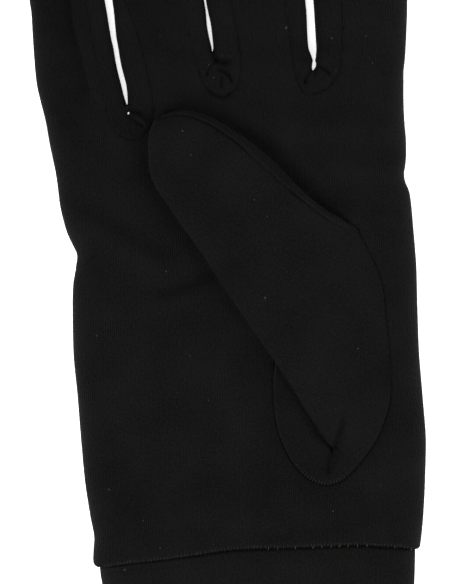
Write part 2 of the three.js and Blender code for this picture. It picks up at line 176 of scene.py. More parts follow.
# Thumb, seen from above: its left fold from the foot to the tip, and the other side down to the oval seam
THUMB_LEFT_FOLD = [
    (23.8, 27.3), (20.2, 31.6), (17.2, 36.5), (10.8, 46.6), (0.25, 62), (-6.75, 72.1), (-13.8, 83),
    (-20.2, 91.8), (-23.8, 97.2), (-26.3, 100.9), (-28, 105.3), (-28.4, 110),
]
THUMB_RIGHT_FOLD = [
    (-28.4, 110), (-28.4, 113.5), (-27.9, 117), (-26.6, 119.4), (-23.8, 121.3), (-19.6, 122.4),
    (-14, 121.6), (-8.4, 119.1), (-2.8, 115.6), (2.8, 111.5), (8.4, 106.4), (14, 100.6), (19.6, 95.8),
    (25.2, 92.4), (30, 89.5),
]
# Oval seam in the palm, from the top of the thumb down its right side, round the foot and up to the left fold
THUMB_SEAM = [
    (30, 89.5), (32.8, 84), (35.3, 79.1), (37.2, 73.1), (38.2, 63.8), (39.2, 54.5), (39.6, 45.6),
    (39.1, 40), (37.4, 34.4), (35.1, 29.5), (31.9, 24.9), (28.3, 20.7), (25.2, 18.3), (21.8, 17.4),
    (17.4, 18.4), (13.7, 21.4), (10.4, 26.5), (7.8, 33), (6.6, 40.9), (6.7, 49.3), (8, 57),
]
THUMB_VALLEY = [(23.8, 27.3), (22.7, 24.6), (22.4, 21.4), (21.8, 17.4)]
THUMB_WELT = [
    (-25, 120), (-21.6, 121.1), (-16.8, 120.7), (-12.6, 119.1), (-8.4, 116.6), (-3.6, 113.2), (0.6, 109.3),
    (4.8, 105.7), (9.8, 101.1), (15.4, 96.6), (21.8, 92), (26.9, 89.5),
]
THUMB_AXIS = (math.sin(math.radians(34)), -math.cos(math.radians(34)))
THUMB_TIP = (-35.1, 114.6)

# Soft dents in the palm: points, half width or those left and right of the run, depth (below 0: a swell)
HAND_DENTS = [
    ([(-51.3, 180), (-50.6, 160), (-50.1, 150), (-48.6, 142), (-46.5, 135), (-45.2, 129)], 0.8, 4.4, 1.7),
    ([(-50, 136), (-49.3, 128), (-48.6, 121), (-45.5, 114.8), (-40.5, 111.5)], 3.2, 0.8),
    ([(-48, 91.8), (-38, 86), (-26, 79.2)], 3.4, -0.75),
    ([(-46, 96.6), (-36, 90.8), (-24, 83.8)], 2.8, 4, 0.55),
    ([(-49, 80), (-40, 76), (-31, 75)], 4, 0.3),
    ([(-24, 69), (-17, 70.8), (-11, 73.4), (-4, 77.6)], 2.2, 3, -0.6),
    ([(-26, 72.2), (-17.8, 74.2), (-12.2, 76.8), (-6.5, 80.2)], 3, 2, 0.8),
    ([(-39, 5.6), (-26, 5.4), (-14, 6)], 3, 2.4, 0.5),
    ([(0, 5.2), (10.5, 4.8)], 3.2, 2, 0.65),
    ([(17, 5.2), (23.8, 6.7), (31, 8)], 3.2, 1.2, 0.7),
    ([(-8, 24), (20, 24.2), (47, 23.8)], 0.9, 0.06),
    ([(-6, 120), (15, 119), (42, 119)], 3, -0.35),
    ([(4, 112.6), (22, 112), (43, 111.8)], 2.8, 0.4),
    ([(14, 106.6), (30, 106.4), (44, 106.2)], 2.4, -0.3),
    ([(24, 102), (34, 101.6), (44, 101.2)], 2, 0.25),
    ([(-46, 60), (-44, 40), (-42, 20)], 6, -0.2),
    ([(-36, 140), (-38, 150), (-40, 166)], 0.6, 1.5, 0.15),
]
# Sharp folds and small swells in the crotches of the fingers, with the same columns
CROTCH_FOLDS = [
    ([(-33.6, 122.3), (-32, 122.3), (-30.2, 121.8)], 0.6, 0.7, 1.5),
    ([(-33.9, 120.7), (-32.6, 119.9), (-31.2, 119), (-30, 118.3)], 0.5, 1),
    ([(-32.4, 120.9), (-30.6, 119.9), (-29.2, 118.9)], 0.5, -0.5),
    ([(-33.2, 118.7), (-33.2, 116.8)], 0.35, 0.5),
    ([(-26.8, 122.8), (-27, 119.5), (-28.2, 116)], 0.8, 0.8),
    ([(-10.1, 138.6), (-9.8, 136.9), (-9, 136.1), (-6.7, 135.9)], 0.8, 2.1),
    ([(-9.5, 136.5), (-10.9, 134.7), (-12, 132.4)], 0.5, 1.5),
    ([(-8.7, 133.8), (-7, 133.1), (-5.7, 131.9), (-5.2, 130.5)], 0.55, 1.8),
    ([(-8.1, 131.3), (-8, 128.8)], 0.45, 1.1),
    ([(-11.2, 130.8), (-9.8, 131.4)], 0.9, -0.5),
    ([(-11.8, 128.2), (-10.4, 126.9), (-8, 126.1), (-5.8, 126.7)], 0.6, 1.3),
    ([(-5, 127.5), (-3, 126)], 1.2, 0.4),
    ([(16.9, 133.4), (16.1, 132), (15.4, 130.4)], 0.5, 1.5),
    ([(15.6, 131), (15.2, 130)], 0.6, 0.8),
    ([(18.5, 135.5), (19.6, 134.7), (20.8, 133.8), (22, 132.8)], 0.5, 1.9),
    ([(14.6, 137), (16.2, 136.4)], 0.5, 0.5),
    ([(18, 131.5), (19.6, 130.4)], 1.2, -0.4),
]
# Painted shade in the creases, the crotches and the thumb's shadow, and painted light on some ridges and
# beside the thumb, with the same columns: above 0 darker, below 0 lighter
PAINTED_CREASE_SHADE_AND_LIGHT = [
    ([(-51.5, 180), (-50.9, 160), (-50.4, 150), (-48.9, 142), (-47.2, 136)], 0.5, 4.6, 0.12),
    ([(-46.4, 134.7), (-44.6, 130.5), (-43.2, 127), (-41.5, 124.2), (-39.9, 122.2)], 0.8, -0.12),
    ([(-50.3, 175), (-49.6, 160), (-49.2, 150), (-47.8, 142), (-45.8, 135), (-44.4, 129)], 0.6, -0.16),
    ([(-45.4, 94.6), (-36, 88.6), (-25, 82.4)], 2.2, 0.09),
    ([(-24, 70.7), (-17, 72.7), (-11.8, 75.2), (-5.5, 78.8)], 2, 2.2, 0.15),
    ([(-26, 120), (-14, 122), (-5, 117.2), (3.6, 111.4), (10, 105.4), (16, 99.4), (24, 93.6), (29, 91)],
     1.8, 0.2, -0.2),
    ([(-12, 125), (-6.6, 121.3), (-1, 117.8), (4.6, 113.7), (10.2, 108.6), (15.8, 102.8), (21.4, 98),
      (27, 94.6)], 2, 1.2, 0.14),
    ([(17.2, 36.5), (10.8, 46.6), (0.25, 62)], 3.5, 0.15, -0.26),
    ([(0.25, 62), (-6.75, 72.1), (-13.8, 83), (-23.8, 97.2), (-27, 101)], 2.6, 0.15, -0.12),
    ([(39.4, 44), (39, 39), (37.2, 34), (34.8, 29), (31.6, 24.6), (28, 20.5), (25, 18.2), (21.8, 17.4),
      (17.4, 18.4), (13.7, 21.4), (10.4, 26.5), (7.8, 33), (6.8, 40.9)], 3, 0.2, 0.09),
    ([(-34, 16), (0, 14), (30, 12)], 7, 0.13),
    ([(30, 60), (30, 40), (28, 28)], 7, 0.04),
    ([(8, 114.9), (43, 114.9)], 2.2, -0.07),
    ([(16, 108.6), (43, 108)], 2.4, 0.06),
    ([(26, 104.4), (43, 104.2)], 1.3, -0.05),
    ([(10.5, 46), (12, 38), (15.5, 30)], 3.5, -0.08),
    ([(-9.6, 136.6), (-8, 136.1), (-6.2, 135.8)], 0.9, 1.2, 0.45),
    ([(-33.4, 122.4), (-31, 121.6), (-29, 120.3)], 0.9, 1.3, 0.25),
    ([(-31.2, 120.1), (-30.3, 119.6)], 0.45, -0.3),
    ([(-10.8, 127.2), (-9.2, 126.3), (-7.2, 126.2), (-5.6, 127)], 0.5, 0.25),
    ([(-8.7, 133.8), (-7, 133.1), (-5.7, 131.9)], 0.8, 0.2),
    ([(-8.1, 130.8), (-8, 129)], 0.6, 0.25),
    ([(-7, 124.8), (-4.2, 126.4), (-2.4, 129.4)], 1.2, 0.16),
    ([(14.4, 137.2), (16.6, 136.4)], 1.1, 0.22),
    ([(19.2, 139.8), (22.6, 139.4)], 1.3, 0.15),
    ([(12.4, 139.8), (16.2, 139.6)], 1.2, 0.12),
]
QUIET_SEAM = (-37.8, 116.8)  # where the first side strip's seam hardly shows
# Grooves along the oval seam and under the thumb's two folds: depth and half width
OVAL_GROOVE, UNDER_LEFT_FOLD, UNDER_RIGHT_FOLD = (0.3, 0.5), (0.5, 1.4), (0.4, 2)
# Uneven cloth: size, seed and depth
UNEVEN_HAND = [(26, 3.1, 0.22), (9, 7.7, 0.1)]
UNEVEN_THUMB = [(19, 12.5, 0.25)]
UNEVEN_CUFF = [(22, 5.5, 0.2)]
PINHOLE, PINHOLE_SIZE = np.array((-34.05, 121.75)), (0.28, 0.42)  # its middle, and half its width and height


def smooth_steps(xs, ys, at):
    """Value at each place of a smooth curve through the points that never overshoots them."""
    xs, ys = np.asarray(xs, float), np.asarray(ys, float)
    h = np.diff(xs)
    slope = np.diff(ys) / h
    tangent = np.zeros_like(ys)
    same = slope[:-1] * slope[1:] > 0
    w1, w2 = 2 * h[1:] + h[:-1], h[1:] + 2 * h[:-1]
    inner = (w1 + w2) / (w1 / np.where(same, slope[:-1], 1) + w2 / np.where(same, slope[1:], 1))
    tangent[1:-1] = np.where(same, inner, 0)
    tangent[0], tangent[-1] = slope[0], slope[-1]
    i = np.clip(np.searchsorted(xs, at) - 1, 0, len(h) - 1)
    t = (at - xs[i]) / h[i]
    return ((1 + 2 * t) * (1 - t) ** 2 * ys[i] + t * (1 - t) ** 2 * h[i] * tangent[i]
            + t * t * (3 - 2 * t) * ys[i + 1] + t * t * (t - 1) * h[i] * tangent[i + 1])


def even(line, step):
    """The same line with points at even steps."""
    line = np.asarray(line, float)
    run = np.r_[0, np.cumsum(np.hypot(*np.diff(line, axis=0).T))]
    at = np.linspace(0, run[-1], max(2, int(round(run[-1] / step)) + 1))
    return np.c_[np.interp(at, run, line[:, 0]), np.interp(at, run, line[:, 1])]


def between(value, low, high, first, last):
    """Straight blend from the first at low to the last at high."""
    return (high - value) / (high - low) * first + (value - low) / (high - low) * last


def curve(points, step):
    """Even points on a smooth curve through the given ones."""
    p = np.asarray(points, float)
    if len(p) < 3:
        return even(p, step)
    ends = np.vstack([2 * p[0] - p[1], p, 2 * p[-1] - p[-2]])
    knots = np.r_[0, np.cumsum(np.sqrt(np.hypot(*np.diff(ends, axis=0).T)))]
    fine = []
    for k in range(1, len(ends) - 2):
        t = np.linspace(knots[k], knots[k + 1], 12, endpoint=False)[:, None]
        a = [between(t, knots[j], knots[j + 1], ends[j], ends[j + 1]) for j in (k - 1, k, k + 1)]
        b = [between(t, knots[j], knots[j + 2], a[j - k + 1], a[j - k + 2]) for j in (k - 1, k)]
        fine.append(between(t, knots[k], knots[k + 1], *b))
    return even(np.vstack(fine + [p[-1:]]), step)


def offsets(points, line):
    """Distance from each point to a line, whether it lies left of the line's run, and how far along it is."""
    a, b = line[:-1], line[1:]
    run = b - a
    length = np.maximum((run ** 2).sum(1), 1e-12)
    best, left, share = np.empty(len(points)), np.empty(len(points), bool), np.empty(len(points))
    for start in range(0, len(points), 2000):
        part = slice(start, start + 2000)
        p = points[part, None, :]
        t = np.clip(((p - a) * run).sum(2) / length, 0, 1)
        off = p - (a + t[..., None] * run)
        square = (off ** 2).sum(2)
        rows, near = np.arange(len(square)), square.argmin(1)
        off, along = off[rows, near], run[near]
        best[part] = np.sqrt(square[rows, near])
        left[part] = along[:, 0] * off[:, 1] - along[:, 1] * off[:, 0] > 0
        share[part] = (near + t[rows, near]) / len(run)
    return best, left, share


def distance(points, line):
    return offsets(points, line)[0]


def nearest(points, lines):
    """Distance from each point to the nearest of some lines."""
    return np.min([distance(points, line) for line in lines], axis=0)


def apart(points, middle):
    """Distance from each point to one place."""
    return np.hypot(*(points - middle).T)


def unit(run):
    """The same directions with length 1."""
    return run / np.maximum(np.linalg.norm(run, axis=-1, keepdims=True), 1e-9)


def bell(distances, width):
    """Share that falls from 1 at no distance to nearly 0 at twice the width."""
    return np.exp(-(distances / width) ** 2)


def inside(points, outline):
    """Whether each point lies inside a closed outline."""
    a, b = outline, np.roll(outline, -1, axis=0)
    hits = np.zeros(len(points), int)
    for start in range(0, len(points), 2000):
        x, y = points[start:start + 2000, 0, None], points[start:start + 2000, 1, None]
        cross = (a[:, 1] > y) != (b[:, 1] > y)
        rise = np.where(b[:, 1] == a[:, 1], 1, b[:, 1] - a[:, 1])
        at = a[:, 0] + (y - a[:, 1]) * (b[:, 0] - a[:, 0]) / rise
        hits[start:start + 2000] = (cross & (x < at)).sum(1)
    return hits % 2 == 1


def rounded(distances, radius, power=2.3):
    """Share of the full height that the cloth reaches at a distance in from a fold."""
    share = np.clip(distances / radius, 0, 1)
    return (1 - (1 - share) ** power) ** (1 / power)


def ease(low, high, value):
    """Smooth step from 0 at low to 1 at high."""
    t = np.clip((value - low) / (high - low), 0, 1)
    return t * t * (3 - 2 * t)


def beside(line, offsets, step):
    """Rows of points at some distances to both sides of a line."""
    path = even(line, step)
    run = np.gradient(path, axis=0)
    normal = np.c_[-run[:, 1], run[:, 0]] / np.maximum(np.hypot(*run.T), 1e-9)[:, None]
    return np.vstack([path + normal * offset for offset in offsets])


def uneven(points, rows):
    """Smooth random depth of each point, as rows of size, seed and depth say."""
    return sum(depth * np.array([noise.noise(Vector((x / size, y / size, seed))) for x, y in points])
               for size, seed, depth in rows)


def triangulate(loose, chains):
    """Triangles through all the points that keep every chain as a run of edges."""
    points, edges = [tuple(p) for p in loose], []
    for chain, closed in chains:
        first = len(points)
        points += [tuple(p) for p in chain]
        edges += [(first + i, first + i + 1) for i in range(len(chain) - 1)]
        if closed:
            edges.append((len(points) - 1, first))
    result = delaunay_2d_cdt([Vector(p) for p in points], edges, [], 0, 1e-4)
    return np.array([tuple(v) for v in result[0]]), np.array(result[2])


def grid(outline, spacing):
    """Staggered points that fill an outline."""
    low, high = outline.min(0), outline.max(0)
    rows = np.arange(low[1], high[1], spacing * 0.87)
    columns = np.arange(low[0], high[0], spacing)
    points = np.array([(x + (k % 2) * spacing / 2, y) for k, y in enumerate(rows) for x in columns])
    return points[inside(points, outline)]


def place_object(name, data, place=(0, 0, 0)):
    """A new object in the scene, at a place in metres."""
    obj = bpy.data.objects.new(name, data)
    obj.location = place
    bpy.context.scene.collection.objects.link(obj)
    return obj


def add_object(name, verts, faces, knit=None):
    """A smooth object from points in table millimetres, with their places in the knit and the painted light
    and shade that they carry.
    """
    mesh = bpy.data.meshes.new(name)
    mesh.from_pydata(((verts + (SHIFT_X, SHIFT_Y, 0)) * MM).tolist(), [], faces)
    if knit is not None:
        mesh.attributes.new("knit", 'FLOAT_VECTOR', 'POINT').data.foreach_set("vector", knit.ravel())
    mesh.shade_smooth()
    return place_object(name, mesh)


def tube_quads(rings, sides):
    """Faces between rings of points that follow each other."""
    here = np.arange(sides)
    after = (here + 1) % sides
    first = np.arange(rings - 1)[:, None] * sides
    quads = np.stack([first + sides + here, first + sides + after, first + after, first + here], axis=2)
    return quads.reshape(-1, 4)


def build_mesh(name, points, knit, sheets, shell=None):
    """One object from sheets of (triangles, heights, facing up) over one plan, welded where they meet."""
    verts, faces, knits = [], [], []
    for triangles, heights, upward in sheets:
        used, local = np.unique(triangles, return_inverse=True)
        local = local.reshape(-1, 3) + sum(len(v) for v in verts)
        a, b, c = (points[triangles[:, i]] for i in range(3))
        turn = (b[:, 0] - a[:, 0]) * (c[:, 1] - a[:, 1]) - (b[:, 1] - a[:, 1]) * (c[:, 0] - a[:, 0])
        wrong = (turn > 0) != upward
        local[wrong] = local[wrong][:, ::-1]
        verts.append(np.c_[points[used], heights[used]])
        knits.append(knit[used])
        faces.append(local)
    verts = np.vstack(verts)
    obj = add_object(name, verts, np.vstack(faces).tolist(), np.c_[np.vstack(knits), painted_rim_light_and_crease_shade(verts)])
    bm = bmesh.new()
    bm.from_mesh(obj.data)
    bmesh.ops.remove_doubles(bm, verts=bm.verts, dist=WELD)
    bmesh.ops.delete(bm, geom=[v for v in bm.verts if not v.link_faces], context='VERTS')
    bm.to_mesh(obj.data)
    bm.free()
    if shell:
        solidify(obj, shell)
    return obj


def solidify(obj, thickness):
    """Gives a sheet its cloth thickness, inward."""
    modifier = obj.modifiers.new("cloth", 'SOLIDIFY')
    modifier.thickness = thickness * MM
    modifier.offset = -1
    bpy.context.view_layer.objects.active = obj
    with bpy.context.temp_override(object=obj, active_object=obj, selected_objects=[obj]):
        bpy.ops.object.modifier_apply(modifier=modifier.name)


def under_camera(table, height):
    """Places of a table moved in to where the photograph shows them, for cloth that lies at this height."""
    share = (height - HAND_HEIGHT / 2) / CAMERA_AWAY
    middle = np.array(PHOTO_MIDDLE)
    return np.asarray(table, float) * (1 - share) + middle * share


# Outline of the hand and fingers
def side(rows):
    """Points up a side from rows of height and x."""
    ys, xs = np.transpose(rows)
    at = np.linspace(ys[0], ys[-1], int((ys[-1] - ys[0]) / SIDE_STEP) + 2)
    return np.c_[smooth_steps(ys, xs, at), at]


def tip_arc(start, left, right, end_x, end_y):
    """Points round a fingertip, from its left side to its right side."""
    angle = np.linspace(0, math.pi, TIP_STEPS + 2)[1:-1]
    middle, half = (left + right) / 2, (right - left) / 2
    lift = np.sin(angle)
    return np.c_[middle + (end_x - middle) * lift - half * np.cos(angle), start + (end_y - start) * lift]


def finger_sides():
    """The left and right side of each finger, upward, from the crotch or the hem."""
    lefts, rights = [side(LEFT_SIDE)], []
    for gap, (start, _, right, *_), (next_start, next_left, *_) in zip(GAPS, TIPS, TIPS[1:]):
        rights.append(side([(y, x) for y, x, _ in gap if y < start] + [(start, right)]))
        lefts.append(side([(y, x) for y, _, x in gap if y < next_start] + [(next_start, next_left)]))
    rights.append(side(RIGHT_SIDE))
    return lefts, rights


def silhouette():
    """The whole outline from the hem's left corner round the fingers to the right one."""
    lefts, rights = finger_sides()
    parts = []
    for left, right, tip in zip(lefts, rights, TIPS):
        parts += [left, tip_arc(*tip), right[::-1]]
    return np.vstack(parts)


SIDES = silhouette()
OUTER_SIDES = [side(LEFT_SIDE), side(RIGHT_SIDE)]
HEM_LINE = curve(HEM, LINE_STEP)
above_hem = SIDES[(SIDES[:, 1] > 1.2) | ((SIDES[:, 1] > -3.6) & (SIDES[:, 0] < 0))]
OUTLINE = np.vstack([above_hem, HEM_LINE[::-1]])
hole_angle = np.linspace(0, 2 * math.pi, 10, endpoint=False)
HOLE = PINHOLE + PINHOLE_SIZE * np.c_[np.cos(hole_angle), np.sin(hole_angle)]
HOLE_RING = np.vstack([HOLE, HOLE[:1]])
SEAMS = {name: curve(points, LINE_STEP) for name, points in STRIP_SEAMS.items()}
THUMB_SEAM_LINE, FOLD_LINE, UPPER_FOLD, VALLEY_LINE = (
    curve(under_camera(table, SEAM_LEVEL), LINE_STEP)
    for table in (THUMB_SEAM, THUMB_LEFT_FOLD, THUMB_RIGHT_FOLD, THUMB_VALLEY))
WELT_LINE = curve(under_camera(THUMB_WELT, WELT_LEVEL), 0.7)
# The oval seam right and left of the valley's foot, the plan of the thumb, and the pocket's mouth under it
OVAL_RIGHT = THUMB_SEAM_LINE[:int(np.argmin(apart(THUMB_SEAM_LINE, VALLEY_LINE[-1]))) + 1]
OVAL_LEFT = THUMB_SEAM_LINE[len(OVAL_RIGHT) - 1:]
OVER_LINE = np.vstack([FOLD_LINE, UPPER_FOLD[1:], OVAL_RIGHT[1:], VALLEY_LINE[::-1][1:-1]])
POCKET_LINE = np.vstack([FOLD_LINE[FOLD_LINE[:, 0] > OVAL_LEFT[-1, 0]][::-1], VALLEY_LINE[1:], OVAL_LEFT[1:]])
FINGER_LEAN = [-0.165, -0.16, -0.12, -0.02]  # how far the wales lean with each finger


def painted_rim_light_and_crease_shade(points):
    """Painted light on the two outer side folds, less the painted shade of the creases and beside the thumb.
    """
    plan = points[:, :2]
    creases = folds_depth(plan, PAINTED_CREASE_SHADE_AND_LIGHT) * (points[:, 2] > FOLD_RISE)
    return RIM_PAINTED_LIGHT * np.exp(-nearest(plan, OUTER_SIDES) / RIM_REACH) - creases


def hem_height(x):
    return np.interp(x, HEM_LINE[:, 0], HEM_LINE[:, 1])


def folds_depth(points, table, fading=False):
    """Depth that the rows of a table of folds give at each point; fading ones run out along their line."""
    depth = np.zeros(len(points))
    for line, *widths, deep in table:
        away, left, share = offsets(points, curve(line, 1.0))
        along = 1 - ease(0.35, 1, share) if fading else 1
        depth += deep * along * bell(away, np.where(left, widths[0], widths[-1]))
    return depth


def groove(points, line, depth, half_width):
    return depth * bell(distance(points, line), half_width)


def seam_groove(points):
    """Stitched seams of the side strips: faint up one finger, deeper and one-sided up the next."""
    faint, more, thin, wider, ridge = 0.24, 0.32, 0.3, 0.7, 0.08
    depth = np.zeros(len(points))
    for line in SEAMS.values():
        away, inner, share = offsets(points, line)
        strong = ease(0.38, 0.58, share)
        width = np.where(inner, thin + wider * strong, thin)
        depth += (faint + more * strong) * bell(away, width) - ridge * bell(away - 1.1, 0.6)
    return depth * (1 - 0.8 * bell(apart(points, QUIET_SEAM), 4))


def knit_of_hand(points):
    """Across and along the wales: upright on the hand, leaning with each finger above its root."""
    x, y = points.T
    across = x.copy()
    for lean, left, right in zip(FINGER_LEAN, *finger_sides()):
        low, high = (np.interp(y, line[:, 1], line[:, 0]) for line in (left, right))
        own = (x > low - 0.5) & (x < high + 0.5) & (y > FINGER_ROOTS)
        across[own] -= lean * (y[own] - FINGER_ROOTS) * ease(FINGER_ROOTS, FINGER_ROOTS + LEAN_REACH, y[own])
    return np.c_[across, y]


def oval_groove(points):
    """Strength of the oval seam's groove: full at the foot, fainter up its sides."""
    x, y = points.T
    return 1 - np.where(x < 25, 0.35 * ease(26, 34, y), 0.6 * ease(36, 50, y))


def hand_heights(points):
    """Heights of the upper and the under cloth of the hand, the fingers and the side strips."""
    to_side, to_hem, to_hole = (distance(points, line) for line in (SIDES, HEM_LINE, HOLE_RING))
    to_outer = nearest(points, OUTER_SIDES)
    on_fingers = ease(*ON_FINGERS, points[:, 1])
    height = HAND_HEIGHT + (FINGER_HEIGHT - HAND_HEIGHT) * on_fingers
    in_view = ease(*OUT_OF_VIEW, points[:, 1])
    outer_round = SIDE_ROUND - 2 * on_fingers
    radius = np.where(to_outer < to_side + 0.05, outer_round, TIP_ROUND - GAP_SHARPER * in_view)
    radius -= SHARP_AT_HOLE * bell(apart(points - PINHOLE, (0, 1)), 2.6)
    rise = np.minimum(rounded(to_side, radius), rounded(to_outer, outer_round))
    rise = np.minimum(rise, rounded(to_hole, HOLE_ROUND))
    dents = folds_depth(points, HAND_DENTS) + CROTCH_SHARE * folds_depth(points, CROTCH_FOLDS)
    dents += seam_groove(points) + uneven(points, UNEVEN_HAND)
    dents += oval_groove(points) * groove(points, THUMB_SEAM_LINE, *OVAL_GROOVE)
    dents += groove(points, FOLD_LINE, *UNDER_LEFT_FOLD) + groove(points, UPPER_FOLD, *UNDER_RIGHT_FOLD)
    top = FOLD_RISE + (height - FOLD_RISE - dents) * rise
    hem_bulge = 0.2 * bell(to_hem - 1.3, 0.9)
    rolled = HEM_LEVEL + (top + hem_bulge - HEM_LEVEL) * rounded(to_hem, HEM_ROLL, 2)
    top = np.where(top > HEM_LEVEL, rolled, top)
    under = FOLD_RISE * (1 - rounded(np.minimum(to_side, to_hole), UNDER_ROUND))
    under_groove = 0.25 * bell(nearest(points, SEAMS.values()), 0.4)
    return top, under + under_groove * (under < 1)


def hand_plan():
    """Triangles of the whole plan of the hand, fine along its edges, seams and folds."""
    seam_rows = [-1.5, -1.0, -0.6, -0.3, 0.3, 0.6, 1.0, 1.5]
    loose = [
        beside(above_hem, [-r for r in EDGE_ROWS], 1.0),
        beside(HEM_LINE, [0.12, 0.35, 0.7, 1.2, 1.8], 0.9),
        *(beside(line, seam_rows, 0.8) for line in SEAMS.values()),
        beside(THUMB_SEAM_LINE, [-1, -0.5, 0.5, 1], 0.9),
        beside(HOLE_RING, [-0.1, -0.2, -0.4, -0.6, -0.9, -1.3, -1.8], 0.15),
        *(beside(curve(fold[0], 0.3), np.linspace(-2, 2, 9) * fold[1], 0.3) for fold in CROTCH_FOLDS),
        beside(curve(HAND_DENTS[0][0], 0.6), [-1, -0.5, 0, 0.5, 1, 1.6, 2.4], 0.7)]
    coarse = grid(OUTLINE, 1.5)
    reach = nearest(coarse, [SIDES, HEM_LINE, THUMB_SEAM_LINE] + list(SEAMS.values()))
    fine = np.vstack(loose + [coarse[reach > 1.6]])
    fine = fine[inside(fine, OUTLINE) & ~inside(fine, HOLE)]
    fine = fine[nearest(fine, (SIDES, HEM_LINE, HOLE_RING)) > CLEARANCE]
    chains = [(OUTLINE, True), (HOLE, True), (THUMB_SEAM_LINE, False)] + [(s, False) for s in SEAMS.values()]
    points, triangles = triangulate(fine, chains)
    centre = points[triangles].mean(1)
    kept = inside(centre, OUTLINE) & ~inside(centre, HOLE)
    return points, triangles[kept], centre[kept]


def make_hand():
    """The hand and the side strips, all cut out of one plan."""
    points, triangles, centre = hand_plan()
    top, under = hand_heights(points)
    in_strip = {name: inside(centre, line) for name, line in SEAMS.items()}
    in_hand = ~np.any(list(in_strip.values()), axis=0)
    in_oval = inside(centre, THUMB_SEAM_LINE)

    def cut(name, own, upper, knit):
        sheets = [(triangles[upper], top, True), (triangles[own], under, False)]
        return build_mesh(name, points, knit, sheets, CLOTH)

    made = {"hand_trank": cut("hand_cloth", in_hand, in_hand & ~in_oval, knit_of_hand(points))}
    x, y = points.T
    for name, own in in_strip.items():
        knit = np.c_[x * 0.985 + y * 0.17 - SEAMS[name].mean(0)[0], y]
        made[name] = cut(name.replace("fourchette", "side_strip"), own, own, knit)
    return made


# Thumb
def knit_of_thumb(points):
    """Across and along the thumb: from its left fold, and from its tip."""
    x, y = (points - THUMB_TIP).T
    return np.c_[y * THUMB_AXIS[0] - x * THUMB_AXIS[1], x * THUMB_AXIS[0] + y * THUMB_AXIS[1]]


# Sharp folds at the foot of the thumb that fade along their run, and soft dents, with the same columns
THUMB_FOLDS = [
    ([(23.6, 28.2), (24, 30), (24.7, 33), (25.3, 37), (25.7, 41)], 0.9, 0.75, 1.15),
    ([(23.8, 29), (24.8, 33), (25.5, 38), (26, 44)], 1.8, 1.1, 0.6),
    ([(25, 32.4), (28, 32.8)], 0.7, 0.3),
]
THUMB_DENTS = [
    ([(23.2, 26.2), (22.9, 25), (22.4, 22.4)], 0.45, 1.6, 0.8),
    ([(19.7, 22.8), (22, 23.2)], 1.4, 0.6),
    ([(-18, 100), (-6, 96), (4, 92)], 6, 0.3),
    ([(2, 78), (14, 74), (26, 76)], 7, 0.25),
]


def palm_level(points):
    """Height of the thumb's cloth where it starts: it rises out of the oval seam with a rounded edge."""
    at_foot = ease(26, 20, points[:, 1])
    sunk = 0.4 * oval_groove(points) + 0.35 * at_foot
    rise = rounded(distance(points, THUMB_SEAM_LINE) / (0.7 + 1.1 * at_foot), 1, 2)
    return HAND_HEIGHT - sunk + (THUMB_BASE - HAND_HEIGHT + sunk) * rise


def thumb_heights(points):
    """Heights of the thumb's upper cloth, of its under cloth and of the pocket under it."""
    to_fold = nearest(points, (FOLD_LINE, UPPER_FOLD))
    level = palm_level(points)
    from_seam, from_valley = (np.sin(np.clip(distance(points, line) / reach, 0, 1) * math.pi / 2)
                              for line, reach in ((OVAL_RIGHT, THUMB_RISE), (VALLEY_LINE, VALLEY_RISE)))
    size = from_seam * from_valley ** 0.7
    full = THUMB_BASE - level + THUMB_HEIGHT
    profile = FOLD_RISE / THUMB_HEIGHT + (1 - FOLD_RISE / THUMB_HEIGHT) * rounded(to_fold, THUMB_ROUND)
    top = level + full * size * profile
    to_welt, outer, share = offsets(points, WELT_LINE)
    faint = ease(0.4, 0.48, share) - ease(0.66, 0.72, share)
    welt = (WELT_DEPTH - WELT_FAINTER * faint) * bell(to_welt, 0.26)
    welt -= WELT_RIDGE * outer * bell(to_welt - 0.8, 0.45)
    off_edge = 1 - np.exp(-to_fold / 0.5)
    dents = folds_depth(points, THUMB_FOLDS, True) + folds_depth(points, THUMB_DENTS)
    top -= (size * welt + np.minimum(dents, top - level + 0.9)) * off_edge
    top -= size * uneven(points, UNEVEN_THUMB) * off_edge
    under = level + size * (THUMB_BASE - level + FOLD_RISE * (1 - rounded(to_fold, 2.5, 2)))
    dip = groove(points, FOLD_LINE, 0.5, 1.1) + dents
    pocket = level - np.minimum(dip, 3) * rounded(distance(points, THUMB_SEAM_LINE), 3)
    pocket = np.where(distance(points, VALLEY_LINE) < 1e-3, top, pocket)
    return top, np.minimum(under, top), pocket


